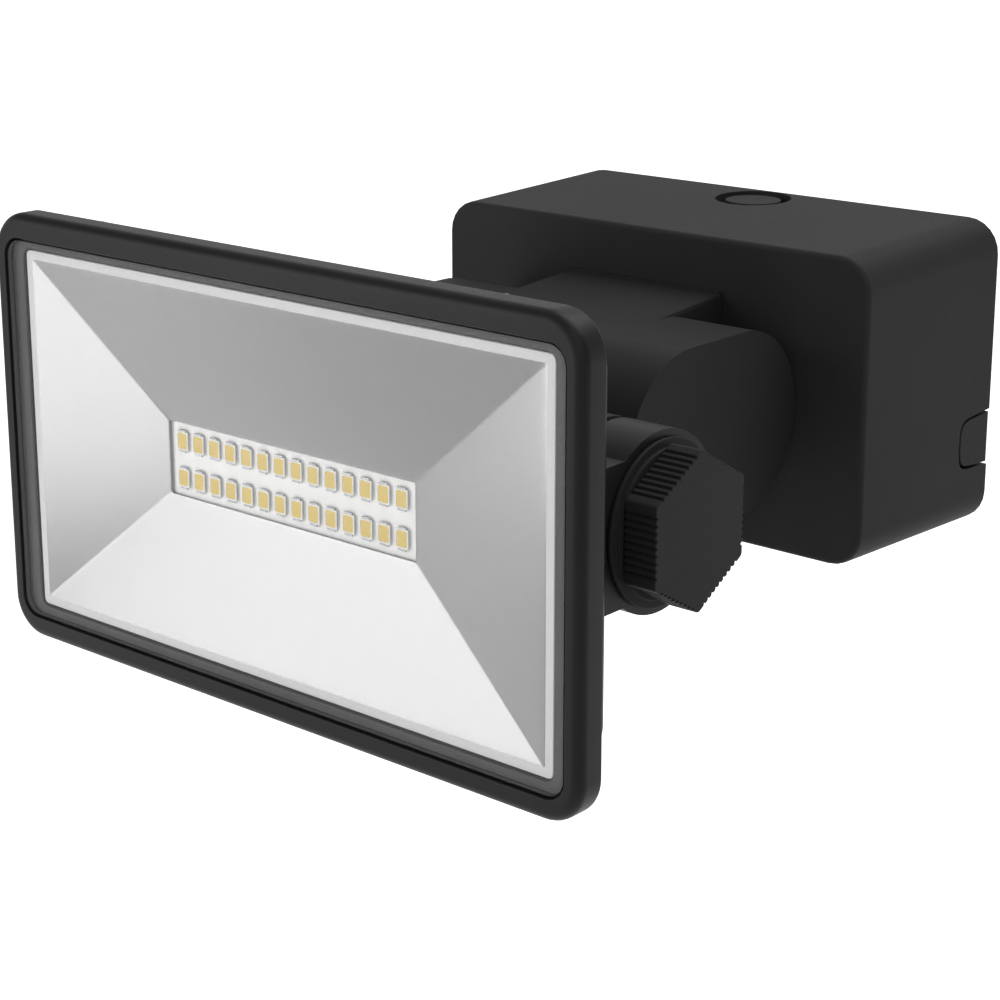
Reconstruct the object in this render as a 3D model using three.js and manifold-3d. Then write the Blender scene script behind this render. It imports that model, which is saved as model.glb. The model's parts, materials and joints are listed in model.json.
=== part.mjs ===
// Wall-box LED floodlight with a swivel arm and a tilting head.
// Millimetres. The wall is the plane y = 0, the lamp looks along -y and z is up.
// The origin is the centre of the wall box's back face.

import * as THREE from 'three';
import { LoftGeometry } from 'three/addons/geometries/LoftGeometry.js';
import { mergeVertices } from 'three/addons/utils/BufferGeometryUtils.js';
import Module from 'manifold-3d';

const wasm = await Module();
wasm.setup();

// ---------------------------------------------------------------------------
// Driving dimensions
// ---------------------------------------------------------------------------

const GAP = 0.3;                 // clearance kept between pieces that touch
const CUT = 2;                   // how far a cutter runs past the face it leaves
const ROUND = 40;                // sides of a large round piece
const SMALL_ROUND = 16;          // sides of a screw or a small hole

// Wall box: a slightly tapered shell, open at the wall
const BOX_DEPTH = 58.5;
const BOX_FRONT_HALF = [65.8, 38.25];
const BOX_DRAFT = 0.0258;
const BOX_CORNER = 8.7;
const BOX_EDGE = 1.3;
const BOX_WALL = 2.6;

// Plate that is screwed to the wall inside the shell
const PLATE_HALF = [64.0, 36.4];
const PLATE_THICKNESS = 3;
const PLATE_CORNER = 6;
const PLATE_SCREW_X = 58;
const PLATE_SCREW_Z = 12;
const PLATE_SCREW_RADIUS = 2.6;
const REAR_ENTRY_RADIUS = 9;
const REAR_ENTRY_Z = -20;
const TAB_X = 50;
const TAB_HALF_WIDTH = 4;
const TAB_DEPTH = 11;
const TAB_Z = [-32.8, -26.8];
const COVER_SCREW_Y = -9;
const COVER_SCREW_RADIUS = 1.5;
const COVER_SCREW_HEAD_RADIUS = 3.2;
const COVER_SCREW_HEAD = 1.9;

const GASKET_WIDTH = 3;
const GASKET_THICKNESS = 1.8;
const GASKET_INSET = 0.2;

// Cable entries: a round blanking plug on top and a U-shaped insert on each side
const TOP_ENTRY_Y = -10.8;
const TOP_ENTRY_RADIUS = 10.1;
const TOP_PLUG_FLOOR = [2.2, 3];          // depths of the plug's floor below the box's top
const TOP_PLUG_CROWN_DEPTH = 0.4;
const TOP_PLUG_CROWN_RADIUS = 7.4;
const SIDE_ENTRY_Z = -16.3;
const SIDE_ENTRY_FRONT_HALF = 6.5;
const SIDE_ENTRY_BACK_HALF = 7.4;
const SIDE_ENTRY_LENGTH = 14;
const SIDE_ENTRY_CORNER = 4;
const SIDE_ENTRY_STEPS = 4;
const SIDE_INSERT_PLAY = 0.7;
const SIDE_INSERT_SINK = 0.05;

// Electrical parts inside the box
const DRIVER = { x: [-8, 52], y: [-29, -3.6], z: [-4, 30], corner: 2.5 };
const TERMINAL = { x: [-48, -20], y: [-19, -3.6], z: [-22, -8], poles: 3, pitch: 9 };
const CLAMP_SCREW = { radius: 2.2, depth: 6, z: -15 };
const LEAD_HOLE = { radius: 1.9, y: -8 };
const LEAD_RADIUS = 0.9;
const LEAD_Y = -12;
const LIVE_LEAD_Z = 20;
const NEUTRAL_LEAD_Z = 10;

// Swivel: the arm's spigot turns in the box front, on the axis x = 0, z = 0
const SPIGOT_RADIUS = 15;
const SPIGOT_LENGTH = 14;
const SPIGOT_PLAY = 0.4;
const LEAD_BORE_RADIUS = 9;
const LEAD_BORE_END = -50;
const LOCK_NUT_RADIUS = 21;
const LOCK_NUT_Y = [3.2, 9.2];

// Arm, measured from the centre of the box front
const ARM_CLEARANCE = 0.8;
const NECK_BACK_HALF = [23.8, 24.6];
const NECK_FRONT_HALF = [24.4, 22.3];
const NECK_END = -33;
const NECK_COLLAR_HALF = [24.4, 25.2];
const NECK_COLLAR_DEPTH = 0.7;
const NECK_CORNER = 1.2;
const DRUM_RADIUS = 22.4;
const DRUM_CENTRES = [-23.2, -44.2];
const DRUM_HALF_WIDTH = 46.8;
const WEB_HALF = [30, 11];
const TILT_AXIS = -95.2;
const BARREL_RADIUS = 19.4;
const BARREL_HALF_WIDTH = 62;

// Tilt bolt, washers and hand knob, along the tilt axis
const BOLT_RADIUS = 4;
const BOLT_PLAY = 0.3;
const BOLT_X = [-77, 84];
const BOLT_HEAD_RADIUS = 8;
const BOLT_HEAD_THICKNESS = 4.5;
const WASHER_RADIUS = 15;
const EAR_X = [64, 76.5];
const EAR_RADIUS = 19.4;
const EAR_ROOT_HALF = 15.4;
const EAR_ROOT_OVERLAP = 5;
const EAR_STEPS = 28;
const KNOB_WASHER_X = [76.8, 77.7, 78.4];
const KNOB_WASHER_RADII = [17.8, 16];
const KNOB_X = [78.8, 86.7];
const KNOB_CORNER_RADIUS = 17.3;
const KNOB_GROOVES = 9;
const KNOB_GROOVE_PITCH = 1.55;
const KNOB_GROOVE_WIDTH = 0.9;
const KNOB_GROOVE_DEPTH = 0.6;

// Head, measured from the tilt axis; its centre is a little below that axis
const HEAD_Z = -0.6;
const FRAME_HALF = [87.3, 51.3];
const FRAME_CORNER = 9.5;
const FRAME_EDGE = 1.8;
const FRAME_Y = [-38.9, -31.9];
const WINDOW_Z = -0.9;
const WINDOW_HALF = [83.25, 45.9];
const WINDOW_CORNER = 4.8;
const LEDGE_HALF = [78.9, 43.25];         // opening of the ledge behind the glass
const LEDGE_CORNER = 2.3;
const LEDGE_Y = [-36, -34.6];
const FRAME_CAVITY_HALF = [82.8, 45.5];
const FRAME_CAVITY_CORNER = 4;
const GLASS_HALF = [82.7, 45.35];
const GLASS_CORNER = 4.2;
const GLASS_Y = [-38.7, -37.1];
const LENS_SEAL_HALF = [79.2, 43.5];      // opening of the black border seal
const LENS_SEAL_CORNER = 2.5;
const LENS_SEAL_Y = [-36.8, -36.3];
const REFLECTOR_FACE_HALF = [78.6, 42.95];
const REFLECTOR_FACE_Y = -36.3;
const REFLECTOR_FLANGE_HALF = [81.2, 43.9];
const REFLECTOR_FLANGE_Y = [-34.3, -31.9];
const REFLECTOR_CORNER = 2;
const REFLECTOR_RIM = 2.2;
const REFLECTOR_BODY_HALF = [78.8, 42.3];
const REFLECTOR_BACK_Y = -30.3;
const REFLECTOR_FLOOR_Y = -30.8;
const REFLECTOR_CREASE = 0.4;
const BOARD_WINDOW_HALF = [37.4, 8.5];
const BOARD_HALF = [41, 12];
const BOARD_CORNER = 1;
const BOARD_Y = [-30.0, -28.4];
const PAD_Y = [-28.1, -27.3];
const LED_COLUMNS = 14;
const LED_PITCH = 5.14;
const LED_SIZE = [3.6, 4.3];
const LED_Y = [-31.0, -30.5];
const LED_ROW_Z = 4.3;
const LED_STRIP_HEIGHT = 1.2;
const LED_STRIP_THICKNESS = 0.2;

// Rear housing of the head: flange, tapered back, fins and two ears
const FLANGE_HALF = [84.9, 50.3];
const FLANGE_Y = [-31.6, -30.0];
const FLANGE_CORNER = 8.5;
const BACK_FRONT_HALF = [82.6, 45.5];
const BACK_FRONT_CORNER = 8;
const BACK_REAR_HALF = [78.6, 43];
const BACK_REAR_CORNER = 6;
const BACK_REAR_Y = -20.6;
const BACK_OVERLAP = 0.5;
const POCKET_HALF = [79.3, 43.2];
const POCKET_CORNER = 3;
const POCKET_FLOOR_Y = -27.0;
const FIN_COUNT = 15;
const FIN_PITCH = 9.2;
const FIN_THICKNESS = 2;
const FIN_Z = [23, 40];
const FIN_TIP_Y = -14;
const HEAD_SCREW_X = 60;
const HEAD_SCREW_Z = 48;
const HEAD_SCREW_RADIUS = 1.3;
const HEAD_SCREW_HEAD_RADIUS = 2.4;
const HEAD_SCREW_Y = [-35.6, -29.7];
const HEAD_SCREW_HEAD = 1.8;

// ---------------------------------------------------------------------------
// Materials
// ---------------------------------------------------------------------------

function material(color, roughness, metalness) {
  return new THREE.MeshStandardMaterial({ color, roughness, metalness });
}

const BLACK_COAT = [0x2f3031, 0.55, 0.1];
const BLACK_PLASTIC = [0x2b2c2d, 0.6, 0.0];
const BLACK_RUBBER = [0x1c1c1c, 0.85, 0.0];
const STEEL = [0x9a9c9e, 0.35, 0.9];
const WHITE_REFLECTOR = [0xe6e6e4, 0.4, 0.1];
const BOARD_WHITE = [0xeeeeec, 0.5, 0.0];
const PHOSPHOR = [0xd9c07a, 0.5, 0.0];
const CLEAR_GLASS = [0xeef2f2, 0.05, 0.0];
const DRIVER_GREY = [0xb9babb, 0.6, 0.0];
const TERMINAL_WHITE = [0xe4e2da, 0.55, 0.0];
const LEAD_BROWN = [0x6a3d22, 0.6, 0.0];
const LEAD_BLUE = [0x2b5fa8, 0.6, 0.0];
const PAD_GREY = [0x8f9498, 0.8, 0.0];

// ---------------------------------------------------------------------------
// Solids
// ---------------------------------------------------------------------------

/** Turns a closed geometry into a manifold solid. */
function solid(geometry) {
  const bare = new THREE.BufferGeometry();
  bare.setAttribute('position', geometry.attributes.position);
  bare.setIndex(geometry.index);
  const merged = mergeVertices(bare, 1e-4);
  return new wasm.Manifold(new wasm.Mesh({
    numProp: 3,
    vertProperties: new Float32Array(merged.attributes.position.array),
    triVerts: new Uint32Array(merged.index.array),
  }));
}

/** Turns a manifold solid back into a geometry. */
function geometryOf(manifold) {
  const mesh = manifold.getMesh();
  const geometry = new THREE.BufferGeometry();
  geometry.setAttribute('position', new THREE.BufferAttribute(new Float32Array(mesh.vertProperties), 3));
  geometry.setIndex(new THREE.BufferAttribute(new Uint32Array(mesh.triVerts), 1));
  geometry.computeVertexNormals();
  return geometry;
}

function join(first, ...others) {
  return geometryOf(others.reduce((sum, other) => sum.add(solid(other)), solid(first)));
}

function cut(body, ...cutters) {
  return geometryOf(cutters.reduce((rest, cutter) => rest.subtract(solid(cutter)), solid(body)));
}

function common(first, second) {
  return geometryOf(solid(first).intersect(solid(second)));
}

// ---------------------------------------------------------------------------
// Shapes
// ---------------------------------------------------------------------------

/** Points of a rounded rectangle, anticlockwise, seen from the front (-y). */
function roundedOutline([halfWidth, halfHeight], corner, steps = 6) {
  const quarters = [[1, 1, 0], [-1, 1, 1], [-1, -1, 2], [1, -1, 3]];
  return quarters.flatMap(([signX, signZ, quarter]) => {
    const centreX = signX * (halfWidth - corner);
    const centreZ = signZ * (halfHeight - corner);
    return Array.from({ length: steps + 1 }, (unused, step) => {
      const angle = (quarter + step / steps) * Math.PI / 2;
      return [centreX + corner * Math.cos(angle), centreZ + corner * Math.sin(angle)];
    });
  });
}

/** Lofts rounded rectangles [y, half sizes, corner] listed from the back to the front. */
function loft(sections, z = 0, steps = 6) {
  const rings = sections.map(([y, half, corner]) => {
    return roundedOutline(half, corner, steps).map(([x, height]) => new THREE.Vector3(x, y, z + height));
  });
  return new LoftGeometry(rings, { capStart: true, capEnd: true });
}

/** A rounded rectangular plate between two y values. */
function plate(half, corner, [front, back], z = 0, steps = 6) {
  return loft([[back, half, corner], [front, half, corner]], z, steps);
}

/** Sections that round a front edge: the outline shrinks by the radius as y nears the front. */
function roundedFront(front, half, corner, radius, steps = 3) {
  return Array.from({ length: steps + 1 }, (unused, step) => {
    const angle = step / steps * Math.PI / 2;
    const inset = radius * (1 - Math.cos(angle));
    const y = front + radius * (1 - Math.sin(angle));
    return [y, half.map((value) => value - inset), corner - inset];
  });
}

function box([x0, x1], [y0, y1], [z0, z1]) {
  const geometry = new THREE.BoxGeometry(x1 - x0, y1 - y0, z1 - z0);
  return geometry.translate((x0 + x1) / 2, (y0 + y1) / 2, (z0 + z1) / 2);
}

function barX(radius, [x0, x1], y = 0, z = 0, sides = ROUND) {
  const geometry = new THREE.CylinderGeometry(radius, radius, x1 - x0, sides);
  return geometry.rotateZ(-Math.PI / 2).translate((x0 + x1) / 2, y, z);
}

function barY(radius, [y0, y1], x = 0, z = 0, sides = ROUND) {
  const geometry = new THREE.CylinderGeometry(radius, radius, y1 - y0, sides);
  return geometry.translate(x, (y0 + y1) / 2, z);
}

function barZ(radius, [z0, z1], x = 0, y = 0, sides = ROUND) {
  const geometry = new THREE.CylinderGeometry(radius, radius, z1 - z0, sides);
  return geometry.rotateX(Math.PI / 2).translate(x, y, (z0 + z1) / 2);
}

/** Extrudes a shape drawn in (y, z) along x. */
function sidePrism(shape, [x0, x1], curveSegments = 20) {
  const geometry = new THREE.ExtrudeGeometry(shape, { depth: x1 - x0, bevelEnabled: false, curveSegments });
  const yzToWorld = new THREE.Matrix4().makeBasis(
    new THREE.Vector3(0, 1, 0),
    new THREE.Vector3(0, 0, 1),
    new THREE.Vector3(1, 0, 0),
  );
  return geometry.applyMatrix4(yzToWorld).translate(x0, 0, 0);
}

function mesh(name, geometry, look) {
  const piece = new THREE.Mesh(geometry, material(...look));
  piece.name = name;
  return piece;
}

// ---------------------------------------------------------------------------
// Wall box
// ---------------------------------------------------------------------------

/** Half size of the shell's outside at a depth y. */
function boxHalfAt(y) {
  const growth = BOX_DRAFT * (y + BOX_DEPTH);
  return BOX_FRONT_HALF.map((value) => value + growth);
}

/** Outline of a side cable entry in (y, z): a U that widens towards the wall. */
function sideEntryShape(back, play) {
  const front = -SIDE_ENTRY_LENGTH + play;
  const flare = (SIDE_ENTRY_BACK_HALF - SIDE_ENTRY_FRONT_HALF) / SIDE_ENTRY_LENGTH;
  const halfAt = (y) => SIDE_ENTRY_BACK_HALF + flare * y - play;
  const cornerY = front + SIDE_ENTRY_CORNER;
  const shape = new THREE.Shape();
  shape.moveTo(back, SIDE_ENTRY_Z - halfAt(back));
  shape.lineTo(back, SIDE_ENTRY_Z + halfAt(back));
  shape.lineTo(cornerY, SIDE_ENTRY_Z + halfAt(cornerY));
  shape.quadraticCurveTo(
    front,
    SIDE_ENTRY_Z + halfAt(front),
    front,
    SIDE_ENTRY_Z + halfAt(front) - SIDE_ENTRY_CORNER,
  );
  shape.lineTo(front, SIDE_ENTRY_Z - halfAt(front) + SIDE_ENTRY_CORNER);
  shape.quadraticCurveTo(
    front,
    SIDE_ENTRY_Z - halfAt(front),
    cornerY,
    SIDE_ENTRY_Z - halfAt(cornerY),
  );
  return shape;
}

/** The shell's outside as a full block, its faces moved in by an inset. */
function boxBlock(inset = 0) {
  const half = (y) => boxHalfAt(y).map((value) => value - inset);
  return loft([
    [0, half(0), BOX_CORNER],
    ...roundedFront(-BOX_DEPTH, half(-BOX_DEPTH), BOX_CORNER, BOX_EDGE),
  ]);
}

function boxHousing() {
  const inside = (y) => boxHalfAt(y).map((value) => value - BOX_WALL);
  const cavityFront = -BOX_DEPTH + BOX_WALL;
  const cavity = loft([
    [CUT, inside(CUT), BOX_CORNER - BOX_WALL],
    [cavityFront, inside(cavityFront), BOX_CORNER - BOX_WALL],
  ]);
  const reach = boxHalfAt(0)[0] + CUT;
  const notch = sidePrism(sideEntryShape(CUT, 0), [-reach, reach], SIDE_ENTRY_STEPS);
  const outside = boxHalfAt(0)[1] + CUT;
  const screwHole = (x) => {
    return barZ(COVER_SCREW_RADIUS + GAP, [-outside, TAB_Z[0]], x, COVER_SCREW_Y, SMALL_ROUND);
  };
  const topHole = [BOX_FRONT_HALF[1] - BOX_WALL - CUT, outside];
  return cut(
    boxBlock(),
    cavity,
    notch,
    barY(SPIGOT_RADIUS + SPIGOT_PLAY, [-BOX_DEPTH - CUT, cavityFront + CUT]),
    barZ(TOP_ENTRY_RADIUS, topHole, 0, TOP_ENTRY_Y),
    screwHole(TAB_X),
    screwHole(-TAB_X),
  );
}

function wallPlate() {
  const tab = (x) => {
    const tabY = [-PLATE_THICKNESS - TAB_DEPTH, -PLATE_THICKNESS / 2];
    return box([x - TAB_HALF_WIDTH, x + TAB_HALF_WIDTH], tabY, TAB_Z);
  };
  const through = [-PLATE_THICKNESS - CUT, CUT];
  const wallScrewHole = (x) => barY(PLATE_SCREW_RADIUS, through, x, PLATE_SCREW_Z, SMALL_ROUND);
  const tabHole = (x) => {
    const tabThrough = [TAB_Z[0] - CUT, TAB_Z[1] + CUT];
    return barZ(COVER_SCREW_RADIUS + GAP, tabThrough, x, COVER_SCREW_Y, SMALL_ROUND);
  };
  return cut(
    join(plate(PLATE_HALF, PLATE_CORNER, [-PLATE_THICKNESS, 0]), tab(TAB_X), tab(-TAB_X)),
    barY(REAR_ENTRY_RADIUS, through, 0, REAR_ENTRY_Z),
    wallScrewHole(PLATE_SCREW_X),
    wallScrewHole(-PLATE_SCREW_X),
    tabHole(TAB_X),
    tabHole(-TAB_X),
  );
}

function boxGasket() {
  const outerHalf = PLATE_HALF.map((value) => value - GASKET_INSET);
  const innerHalf = outerHalf.map((value) => value - GASKET_WIDTH);
  const back = -PLATE_THICKNESS - GAP;
  const front = back - GASKET_THICKNESS;
  return cut(
    plate(outerHalf, PLATE_CORNER, [front, back]),
    plate(innerHalf, PLATE_CORNER - GASKET_WIDTH, [front - CUT, back + CUT]),
  );
}

/** A thin floor that closes the hole, with a raised round crown in its middle. */
function topEntryPlug() {
  const top = boxHalfAt(TOP_ENTRY_Y)[1];
  const [floorTop, floorBottom] = TOP_PLUG_FLOOR.map((depth) => top - depth);
  return join(
    barZ(TOP_ENTRY_RADIUS - GAP, [floorBottom, floorTop], 0, TOP_ENTRY_Y),
    barZ(TOP_PLUG_CROWN_RADIUS, [floorBottom, top - TOP_PLUG_CROWN_DEPTH], 0, TOP_ENTRY_Y),
  );
}

/** The insert fills the shell wall inside the notch; side is 1 on the right, -1 on the left. */
function sideEntryInsert(side) {
  const shape = sideEntryShape(-GAP, SIDE_INSERT_PLAY);
  const reach = boxHalfAt(0)[0] + CUT;
  const inside = PLATE_HALF[0] + GAP;
  const span = side > 0 ? [inside, reach] : [-reach, -inside];
  return common(sidePrism(shape, span, SIDE_ENTRY_STEPS), boxBlock(SIDE_INSERT_SINK));
}

function coverScrew(x) {
  const headTop = -boxHalfAt(COVER_SCREW_Y)[1] - GAP;
  const headZ = [headTop - COVER_SCREW_HEAD, headTop];
  const shankZ = [headTop - COVER_SCREW_HEAD / 2, TAB_Z[1] + 1];
  return join(
    barZ(COVER_SCREW_HEAD_RADIUS, headZ, x, COVER_SCREW_Y, SMALL_ROUND),
    barZ(COVER_SCREW_RADIUS, shankZ, x, COVER_SCREW_Y, SMALL_ROUND),
  );
}

function ledDriver() {
  const half = [(DRIVER.x[1] - DRIVER.x[0]) / 2, (DRIVER.z[1] - DRIVER.z[0]) / 2];
  const centreX = (DRIVER.x[0] + DRIVER.x[1]) / 2;
  const centreZ = (DRIVER.z[0] + DRIVER.z[1]) / 2;
  return plate(half, DRIVER.corner, DRIVER.y, centreZ, 3).translate(centreX, 0, 0);
}

/** Centre of a terminal pole, counted from the left. */
function poleX(pole) {
  const centre = (TERMINAL.x[0] + TERMINAL.x[1]) / 2;
  return centre + (pole - (TERMINAL.poles - 1) / 2) * TERMINAL.pitch;
}

function terminalBlock() {
  const screwY = [TERMINAL.y[0] - CUT, TERMINAL.y[0] + CLAMP_SCREW.depth];
  const holeZ = [TERMINAL.z[0] - CUT, TERMINAL.z[1] + CUT];
  const cutters = [];
  for (let pole = 0; pole < TERMINAL.poles; pole += 1) {
    const x = poleX(pole);
    cutters.push(barY(CLAMP_SCREW.radius, screwY, x, CLAMP_SCREW.z, SMALL_ROUND));
    cutters.push(barZ(LEAD_HOLE.radius, holeZ, x, LEAD_HOLE.y, SMALL_ROUND));
  }
  return cut(box(TERMINAL.x, TERMINAL.y, TERMINAL.z), ...cutters);
}

/** An insulated lead from a terminal pole up and over to the driver's left end. */
function lead(pole, driverZ) {
  const x = poleX(pole);
  const path = new THREE.CubicBezierCurve3(
    new THREE.Vector3(x, LEAD_Y, TERMINAL.z[1] + GAP),
    new THREE.Vector3(x, LEAD_Y, driverZ),
    new THREE.Vector3(x, LEAD_Y, driverZ),
    new THREE.Vector3(DRIVER.x[0] - GAP, LEAD_Y, driverZ),
  );
  const section = new THREE.Shape().absarc(0, 0, LEAD_RADIUS, 0, Math.PI * 2, false);
  return new THREE.ExtrudeGeometry(section, { steps: 14, curveSegments: 4, extrudePath: path });
}

// ---------------------------------------------------------------------------
// Arm
// ---------------------------------------------------------------------------

/** Side view of the drum: two equal round ends joined by a flat top and bottom. */
function drumShape() {
  const [back, front] = DRUM_CENTRES;
  const shape = new THREE.Shape();
  shape.absarc(back, 0, DRUM_RADIUS, -Math.PI / 2, Math.PI / 2, false);
  shape.absarc(front, 0, DRUM_RADIUS, Math.PI / 2, Math.PI * 1.5, false);
  return shape;
}

/** Neck with a low collar at the box, drum, web and cross barrel in one moulding. */
function swivelArm() {
  const neck = loft([
    [-ARM_CLEARANCE, NECK_BACK_HALF, NECK_CORNER],
    [NECK_END, NECK_FRONT_HALF, NECK_CORNER],
  ], 0, 2);
  const collar = loft([
    [-ARM_CLEARANCE, NECK_COLLAR_HALF, NECK_CORNER],
    [-ARM_CLEARANCE - NECK_COLLAR_DEPTH, NECK_COLLAR_HALF, NECK_CORNER],
  ], 0, 2);
  const drum = sidePrism(drumShape(), [-DRUM_HALF_WIDTH, DRUM_HALF_WIDTH]);
  const web = box([-WEB_HALF[0], WEB_HALF[0]], [TILT_AXIS, DRUM_CENTRES[1]], [-WEB_HALF[1], WEB_HALF[1]]);
  const barrel = barX(BARREL_RADIUS, [-BARREL_HALF_WIDTH, BARREL_HALF_WIDTH], TILT_AXIS);
  const spigot = barY(SPIGOT_RADIUS, [-ARM_CLEARANCE - CUT, SPIGOT_LENGTH]);
  const reach = BARREL_HALF_WIDTH + CUT;
  return cut(
    join(drum, neck, collar, web, barrel, spigot),
    barY(LEAD_BORE_RADIUS, [LEAD_BORE_END, SPIGOT_LENGTH + CUT]),
    barX(BOLT_RADIUS + BOLT_PLAY, [-reach, reach], TILT_AXIS, 0, SMALL_ROUND),
  );
}

function lockNut() {
  return cut(
    barY(LOCK_NUT_RADIUS, LOCK_NUT_Y, 0, 0, 6),
    barY(SPIGOT_RADIUS + GAP, [LOCK_NUT_Y[0] - CUT, LOCK_NUT_Y[1] + CUT]),
  );
}

/** A flat washer on the tilt bolt. */
function boltWasher(radius, [x0, x1]) {
  return cut(
    barX(radius, [x0, x1]),
    barX(BOLT_RADIUS + BOLT_PLAY, [x0 - CUT, x1 + CUT], 0, 0, SMALL_ROUND),
  );
}

// ---------------------------------------------------------------------------
// Head
// ---------------------------------------------------------------------------

function fourCorners(x, z) {
  return [[x, z], [-x, z], [-x, -z], [x, -z]];
}

/** Rounded front with a recess for the glass, a ledge behind it and a cavity for the reflector. */
function headFrame() {
  const [front, back] = FRAME_Y;
  const [ledgeFront, ledgeBack] = LEDGE_Y;
  const blind = (x, z) => {
    return barY(HEAD_SCREW_RADIUS + GAP, [HEAD_SCREW_Y[0] - GAP, back + CUT], x, z + HEAD_Z, SMALL_ROUND);
  };
  const roundedEdge = roundedFront(front, FRAME_HALF, FRAME_CORNER, FRAME_EDGE);
  return cut(
    loft([[back, FRAME_HALF, FRAME_CORNER], ...roundedEdge], HEAD_Z),
    plate(WINDOW_HALF, WINDOW_CORNER, [front - CUT, ledgeFront], WINDOW_Z, 4),
    plate(LEDGE_HALF, LEDGE_CORNER, [ledgeFront - CUT, ledgeBack + CUT], WINDOW_Z, 2),
    plate(FRAME_CAVITY_HALF, FRAME_CAVITY_CORNER, [ledgeBack, back + CUT], WINDOW_Z, 4),
    ...fourCorners(HEAD_SCREW_X, HEAD_SCREW_Z).map(([x, z]) => blind(x, z)),
  );
}

function glassLens() {
  return plate(GLASS_HALF, GLASS_CORNER, GLASS_Y, WINDOW_Z, 4);
}

/** The black border between the glass and the ledge. */
function lensSeal() {
  const [front, back] = LENS_SEAL_Y;
  return cut(
    plate(GLASS_HALF, GLASS_CORNER, LENS_SEAL_Y, WINDOW_Z, 4),
    plate(LENS_SEAL_HALF, LENS_SEAL_CORNER, [front - CUT, back + CUT], WINDOW_Z, 4),
  );
}

/** A stepped plate with a shallow four-sided funnel from its flat rim to the board window. */
function reflector() {
  const front = REFLECTOR_FACE_Y;
  const middle = (REFLECTOR_FLANGE_Y[0] + REFLECTOR_FLANGE_Y[1]) / 2;
  const past = REFLECTOR_FACE_HALF.map((value, axis) => {
    const mouth = value - REFLECTOR_RIM;
    const slope = (mouth - BOARD_WINDOW_HALF[axis]) / (REFLECTOR_FLOOR_Y - front);
    return mouth + slope * CUT;
  });
  const funnel = [
    [REFLECTOR_FLOOR_Y, BOARD_WINDOW_HALF, REFLECTOR_CREASE],
    [front - CUT, past, REFLECTOR_CREASE],
  ];
  const face = plate(REFLECTOR_FACE_HALF, REFLECTOR_CORNER, [front, middle], WINDOW_Z, 2);
  const flange = plate(REFLECTOR_FLANGE_HALF, REFLECTOR_CORNER, REFLECTOR_FLANGE_Y, WINDOW_Z, 2);
  const body = plate(REFLECTOR_BODY_HALF, REFLECTOR_CORNER, [middle, REFLECTOR_BACK_Y], WINDOW_Z, 2);
  return cut(
    join(face, flange, body),
    loft(funnel, WINDOW_Z, 1),
    plate(BOARD_WINDOW_HALF, REFLECTOR_CREASE, [front, REFLECTOR_BACK_Y + CUT], WINDOW_Z, 1),
  );
}

function ledBoard() {
  return plate(BOARD_HALF, BOARD_CORNER, BOARD_Y, WINDOW_Z, 2);
}

function thermalPad() {
  return plate(BOARD_HALF, BOARD_CORNER, PAD_Y, WINDOW_Z, 2);
}

/** One row of LED packages on their narrow carrier strip. */
function ledRow(z) {
  const [front, back] = LED_Y;
  const rowLength = (LED_COLUMNS - 1) * LED_PITCH;
  const stripZ = [z - LED_STRIP_HEIGHT / 2, z + LED_STRIP_HEIGHT / 2];
  const strip = box([-rowLength / 2, rowLength / 2], [back - LED_STRIP_THICKNESS, back], stripZ);
  const packages = Array.from({ length: LED_COLUMNS }, (unused, column) => {
    const x = column * LED_PITCH - rowLength / 2;
    const spanX = [x - LED_SIZE[0] / 2, x + LED_SIZE[0] / 2];
    return box(spanX, [front, back], [z - LED_SIZE[1] / 2, z + LED_SIZE[1] / 2]);
  });
  return join(strip, ...packages);
}

/** Side view of an ear: a straight root, narrower than the round boss on the tilt axis. */
function earShape() {
  const rootEnd = BACK_REAR_Y - EAR_ROOT_OVERLAP;
  const meet = Math.PI - Math.asin(EAR_ROOT_HALF / EAR_RADIUS);
  const shape = new THREE.Shape();
  shape.moveTo(rootEnd, -EAR_ROOT_HALF);
  shape.lineTo(EAR_RADIUS * Math.cos(meet), -EAR_ROOT_HALF);
  shape.absarc(0, 0, EAR_RADIUS, -meet, meet, false);
  shape.lineTo(rootEnd, EAR_ROOT_HALF);
  return shape;
}

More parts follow.
